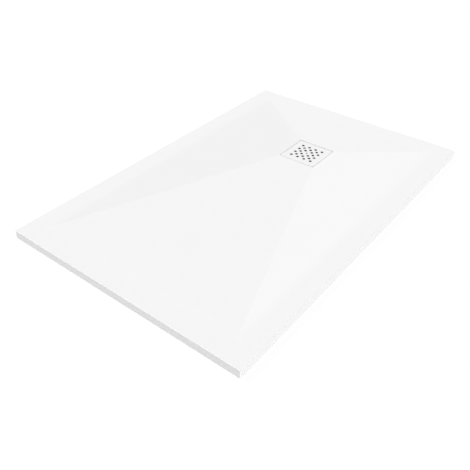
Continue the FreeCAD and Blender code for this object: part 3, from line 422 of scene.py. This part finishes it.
# %% Light grey and black polypropylene
grey_polypropylene, _ = finish(
    "moulded_light_grey_polypropylene", ("#C2C5C7", "#CDD0D1"), patch=35,
    grain=1.5, depth=0.012, Roughness=0.4, IOR=1.49,
    Subsurface_Weight=0.15, Subsurface_Scale=3 * MM,
)
black_polypropylene, _ = finish(
    "moulded_black_polypropylene", ("#1C1D1E", "#252627"), patch=20,
    grain=1.2, depth=0.015, Roughness=0.42, IOR=1.49,
)

# %% [markdown]
# ## Turned metals
# The screws are stainless steel and the inserts brass, both cut on a lathe. The tool
# leaves rings round the axis. The shader's anisotropy could hint at them, but a wave
# texture draws them one by one, its bands one above the other up the height of each
# piece. Metals take their colour from the base colour and keep the default IOR.

# %% Stainless steel and brass
RING_PITCH = 0.25       # the real rings are about 0.1 mm apart: drawn coarser, so that they show
RING_DEPTH = 0.01
BANDS_AT_SCALE_1 = 20 / math.tau    # to a metre, which is how Blender's wave texture is made


def turned_metal(name, colours, **shader_values):
    """A metal with fine lathe rings, one above the other."""
    metal, parts = finish(name, colours, patch=4, grain=0.5, depth=0.004, Metallic=1.0,
                          **shader_values)
    tree = parts["tree"]
    rings = add_node(tree, "ShaderNodeTexWave",
                     {"Vector": parts["place"], "Distortion": 0.4,
                      "Scale": 1 / (RING_PITCH * MM) / BANDS_AT_SCALE_1},
                     wave_type="BANDS", bands_direction="Z")
    lathe = add_node(tree, "ShaderNodeBump",
                     {"Height": rings.outputs["Fac"], "Normal": parts["relief"].outputs[0],
                      "Distance": RING_DEPTH * MM})
    tree.links.new(lathe.outputs[0], parts["shader"].inputs["Normal"])
    return metal


stainless = turned_metal("turned_stainless_steel", ("#C9C8C6", "#BDBCBA"), Roughness=0.28)
brass = turned_metal("turned_brass", ("#D8B56A", "#C9A45A"), Roughness=0.32)

# %% [markdown]
# ## Give every piece its finish
# One table says what each piece of the real tray is made of. The pieces that the CAD
# holds keep their meshes, and only their material slots are filled. The plain nut gets
# its finish too, although a threaded one takes its place further down.

# %% Assign the finishes
FINISHES = {
    gelcoat: ["tray"],
    enamel: ["grate"],
    rubber: ["grate_foot_1", "grate_foot_2", "grate_foot_3", "grate_foot_4", "flange_gasket",
             "body_gasket", "dip_tube_seal", "outlet_cone_washer"],
    abs_plastic: ["waste_flange", "dip_tube_head", "dip_tube", "trap_cup", "hair_strainer"],
    grey_polypropylene: ["trap_body", "outlet_slip_ring"],
    black_polypropylene: ["outlet_nut"],
    stainless: ["flange_screws"],
    brass: ["screw_inserts"],
}
for material, names in FINISHES.items():
    for name in names:
        slots = nodes[name].data.materials
        slots.clear()
        slots.append(material)
        print(name, "->", material.name, len(nodes[name].data.polygons), "faces")

# %% [markdown]
# ## The outlet's thread
# The waste pipe is held by a nut that runs on the trap's outlet. The CAD keeps both
# plain, because a round thread costs many faces and nothing rests on its flanks. Here
# the outlet gets its moulded thread, and a nut with the matching one inside takes the
# place of the plain nut. Each thread is one small section carried along a helix. The
# pitch is read from the joint, so the two threads stay in each other's grooves while
# the nut turns off.

# %% Where the outlet is, and how its nut moves
behaviour = frame["record"]["behaviour"]
turn_joint = next(row for row in behaviour["joints"] if row["name"] == "outlet_nut_turn")
advance = next(row for row in behaviour["couplings"] if row["follows"] == "outlet_nut_turn")
OUTLET = Vector(turn_joint["pos_m"])
PITCH = advance["ratio"] * math.tau / MM
nut_low, nut_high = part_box("outlet_nut")
NUT_START, NUT_END = (nut_low.y - OUTLET.y) / MM, (nut_high.y - OUTLET.y) / MM
print("Pitch", round(PITCH, 3), "mm, nut from", round(NUT_START, 2), "to", round(NUT_END, 2), "mm")

# %% [markdown]
# ## Helpers for round mouldings
# Everything here goes round the outlet, so a point is placed by its radius, its place
# along the outlet and its angle. A moulding is then a row of loops of such points with
# a skin over them. Turning a section or winding it up a helix only changes where the
# loops stand. It takes no modifier, and every edge lies where it should.

# %% Helpers for round mouldings
def round_outlet(radius, along, angle):
    """A point in metres, from its place round the outlet's axis (in mm and radians)."""
    return OUTLET + Vector((radius * math.sin(angle), along, radius * math.cos(angle))) * MM


def join_loops(mesh, loops, closed):
    """Skins a row of loops. The row closes into a ring, or else each end gets a cap."""
    rows = [[mesh.verts.new(point) for point in loop] for loop in loops]
    pairs = list(zip(rows, rows[1:])) + ([(rows[-1], rows[0])] if closed else [])
    for row, following in pairs:
        for place in range(len(row)):
            beyond = (place + 1) % len(row)
            mesh.faces.new((row[place], row[beyond], following[beyond], following[place]))
    if not closed:
        mesh.faces.new(rows[0])
        mesh.faces.new(rows[-1])


SHARP_EDGE = math.radians(32)


def moulding(name, mesh, material, body):
    """Makes the piece, smooth except over its edges, and puts it on its body."""
    bmesh.ops.recalc_face_normals(mesh, faces=mesh.faces)
    data = bpy.data.meshes.new(name)
    mesh.to_mesh(data)
    mesh.free()
    data.shade_smooth()
    data.set_sharp_from_angle(angle=SHARP_EDGE)
    data.materials.append(material)
    piece = bpy.data.objects.new(name, data)
    bpy.context.scene.collection.objects.link(piece)
    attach(piece, body)
    print("Made", name, "with", len(data.polygons), "faces")
    return piece


# %% [markdown]
# ## The ridge of a thread
# A plastic thread is a coarse, blunt ridge, because a sharp one would break in the
# mould. Its foot stands a little inside the wall that carries it, so no gap shows, and
# at both ends it runs out into that wall. A modelled ridge is chosen over a bump,
# because it shows in outline once the nut is off.

# %% The ridge
THREAD_STEPS = 60       # to a turn
RUN_OUT = 1 / 6         # of a turn: the ridge rises over this length
LEAST_RISE = 0.02       # of its height, at its very end, so that no face there is empty
FOOT_HALF, CREST_HALF = 0.85, 0.4       # half its width, in mm
RIDGE_HEIGHT, RIDGE_ROOT = 1.0, 0.3     # above the wall and inside it, in mm
THREAD_END = 16.0       # mm from the nut's mouth


def thread(mesh, first, last, foot, crest, shift):
    """One ridge on a helix between two places along the outlet, its foot and crest at
    the given radii, moved along by the shift (all in mm)."""
    steps = round((last - first) / PITCH * THREAD_STEPS)
    loops = []
    for step in range(steps + 1):
        turns = first / PITCH + step / THREAD_STEPS
        to_an_end = min(step, steps - step) / THREAD_STEPS
        top = foot + (crest - foot) * min(1, LEAST_RISE + to_an_end / RUN_OUT)
        along = turns * PITCH + shift
        loops.append([round_outlet(radius, along + side, turns * math.tau)
                      for radius, side in ((foot, -FOOT_HALF), (top, -CREST_HALF),
                                           (top, CREST_HALF), (foot, FOOT_HALF))])
    join_loops(mesh, loops, closed=False)


# %% [markdown]
# ## The thread on the outlet
# The outlet is part of the trap's body, which keeps its mesh from the CAD. The ridge
# could be joined to it with a boolean, but as a piece of its own, with its foot inside
# the wall and in the same plastic, it looks moulded on and leaves the body untouched.

# %% The thread on the outlet
SPIGOT_RADIUS = 24.2        # the outlet's wall in the CAD
OUTLET_THREAD_START = 2.4   # mm from the nut's mouth
mesh = bmesh.new()
thread(mesh, first=NUT_START + OUTLET_THREAD_START, last=NUT_START + THREAD_END,
       foot=SPIGOT_RADIUS - RIDGE_ROOT, crest=SPIGOT_RADIUS + RIDGE_HEIGHT, shift=0)
moulding("outlet_thread", mesh, grey_polypropylene, "root")

# %% [markdown]
# ## The nut
# The nut is moulded in black polypropylene: a plain ring with a lip that pulls on the
# slip ring, a wide mouth that finds the thread, and twelve round ribs for a wet hand.
# It could be cut out of a cylinder with booleans, but a section turned about the axis
# gives even faces and true bevels.

# %% The nut's ring
NUT_RADIUS, NUT_BORE, LIP_BORE = 27.5, 25.4, 21.0       # mm, as are the next three
LIP, BEVEL, MOUTH_BEVEL = 2.5, 0.6, 0.9
RING_STEPS = 120
mesh = bmesh.new()
section = [
    (NUT_BORE, NUT_START + MOUTH_BEVEL), (NUT_BORE + MOUTH_BEVEL, NUT_START),
    (NUT_RADIUS - BEVEL, NUT_START), (NUT_RADIUS - BEVEL / 4, NUT_START + BEVEL / 4),
    (NUT_RADIUS, NUT_START + BEVEL), (NUT_RADIUS, NUT_END - BEVEL),
    (NUT_RADIUS - BEVEL / 4, NUT_END - BEVEL / 4), (NUT_RADIUS - BEVEL, NUT_END),
    (LIP_BORE + BEVEL, NUT_END), (LIP_BORE, NUT_END - BEVEL),
    (LIP_BORE, NUT_END - LIP), (NUT_BORE, NUT_END - LIP),
]
ring = [[round_outlet(radius, along, math.tau * step / RING_STEPS) for radius, along in section]
        for step in range(RING_STEPS)]
join_loops(mesh, ring, closed=True)
print("Turned a ring of", len(mesh.faces), "faces")

# %% [markdown]
# ## The nut's ribs
# The ribs are round and end in a dome, as they do where the mould was cut with a
# ball-nosed tool. Each one is a row of circles, set half into the ring's wall, so only
# its outer half shows.

# %% The nut's ribs
RIBS, RIB_RADIUS, RIB_SETBACK, RIB_SIDES = 12, 1.5, 1.0, 16
DOME = [math.radians(turn) for turn in (10, 30, 50, 70, 90)]    # from its tip to its full width
first, last = NUT_START + RIB_SETBACK + RIB_RADIUS, NUT_END - RIB_SETBACK - RIB_RADIUS
stations = [(first - RIB_RADIUS * math.cos(turn), RIB_RADIUS * math.sin(turn)) for turn in DOME]
stations += [(last + RIB_RADIUS * math.cos(turn), RIB_RADIUS * math.sin(turn))
             for turn in reversed(DOME)]
round_rib = [math.tau * side / RIB_SIDES for side in range(RIB_SIDES)]
for rib in range(RIBS):
    rib_angle = math.tau * rib / RIBS
    outward = (round_outlet(1, 0, rib_angle) - OUTLET).normalized()
    sideways = outward.cross(Vector((0, 1, 0)))
    loops = []
    for along, radius in stations:
        middle = round_outlet(NUT_RADIUS, along, rib_angle)
        loops.append([middle + (outward * math.cos(turn) + sideways * math.sin(turn)) * radius * MM
                      for turn in round_rib])
    join_loops(mesh, loops, closed=False)
print("With its ribs the nut has", len(mesh.faces), "faces")

# %% [markdown]
# ## The nut's thread
# The nut's ridge points inwards. It lies half a pitch behind the outlet's, so each ridge
# runs in the middle of the other's groove. The finished nut takes the place of the plain
# one from the CAD, which stays as its collision shape.

# %% The nut's thread
NUT_THREAD_START = 1.2      # mm from its mouth
thread(mesh, first=NUT_START + NUT_THREAD_START, last=NUT_START + THREAD_END,
       foot=NUT_BORE + RIDGE_ROOT, crest=NUT_BORE - RIDGE_HEIGHT, shift=PITCH / 2)
nut = moulding("outlet_nut_threaded", mesh, black_polypropylene, "nut")
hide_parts("outlet_nut")

# %% [markdown]
# ## Compare the size
# The dressed model must be as large as the CAD says. Both boxes are measured, and how far
# the dressed one reaches past the CAD's is printed.

# %% Measure the boxes
visual_box = [list(corner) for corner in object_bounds()]
grown = [abs(visual) - abs(cad) for visual_corner, cad_corner in zip(visual_box, cad_box)
         for visual, cad in zip(visual_corner, cad_corner)]
print("Grown by, in mm:", [round(length / MM, 3) for length in grown])
